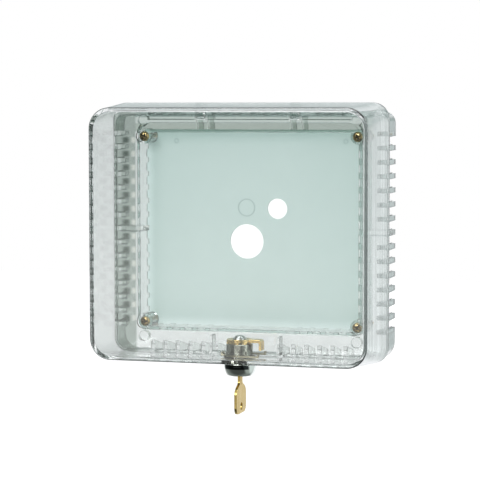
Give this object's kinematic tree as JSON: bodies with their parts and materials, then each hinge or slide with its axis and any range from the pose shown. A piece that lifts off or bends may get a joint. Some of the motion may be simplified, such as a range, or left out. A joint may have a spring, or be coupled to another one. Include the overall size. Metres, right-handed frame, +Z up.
{
  "type": "thermostat lock box",
  "caption": "Clear wall guard for a thermostat: hinged deep cover with a key lock below, on a vented ring over an opaque wall plate.",
  "frame": {"origin": "middle of the four wall screws, in the wall's surface", "axes": "+Y into the wall, +X to the right seen from the front, +Z up"},
  "size_m": [0.2068, 0.0994, 0.2203],
  "materials": {
    "clear_plastic": "clear moulded polycarbonate",
    "plate_plastic": "opaque moulded plastic, satin",
    "screw_steel": "yellow-plated steel",
    "lock_chrome": "chromed die casting",
    "spring_steel": "oiled spring steel",
    "lock_brass": "bright rolled brass",
    "bright_steel": "zinc-plated steel",
    "key_brass": "rolled brass, handled"
  },
  "bodies": {
    "wall_base": {"wallplate": "plate_plastic", "ring_left": "clear_plastic", "ring_right": "clear_plastic", "ring_top": "clear_plastic", "ring_bottom": "clear_plastic", "base_screws": "screw_steel"},
    "cover": {"cover": "clear_plastic", "lock_housing": "lock_chrome", "lock_trim_cup": "lock_chrome", "lock_clip": "spring_steel"},
    "lock_plug": {"lock_plug": "lock_brass", "wafer_1": "lock_brass", "wafer_2": "lock_brass", "wafer_3": "lock_brass", "wafer_4": "lock_brass", "wafer_5": "lock_brass", "wafer_spring_1": "bright_steel", "wafer_spring_2": "bright_steel", "wafer_spring_3": "bright_steel", "wafer_spring_4": "bright_steel", "wafer_spring_5": "bright_steel", "stop_washer": "lock_brass", "lock_cam": "lock_brass", "cam_washer": "bright_steel", "cam_screw": "bright_steel"},
    "key": {"key": "key_brass"}
  },
  "joints": [
    {"name": "cover_swing", "type": "hinge", "parent": "wall_base", "child": "cover", "pos_m": [0, -0.02, 0.084], "axis": [-1, 0, 0], "range_deg": [0, 90]},
    {"name": "key_turn", "type": "hinge", "parent": "cover", "child": "lock_plug", "pos_m": [0, -0.043, -0.09], "axis": [0, 0, 1], "range_deg": [0, 90]},
    {"name": "key_slide", "type": "slide", "parent": "lock_plug", "child": "key", "axis": [0, 0, -1], "range_m": [0, 0.022]}
  ]
}
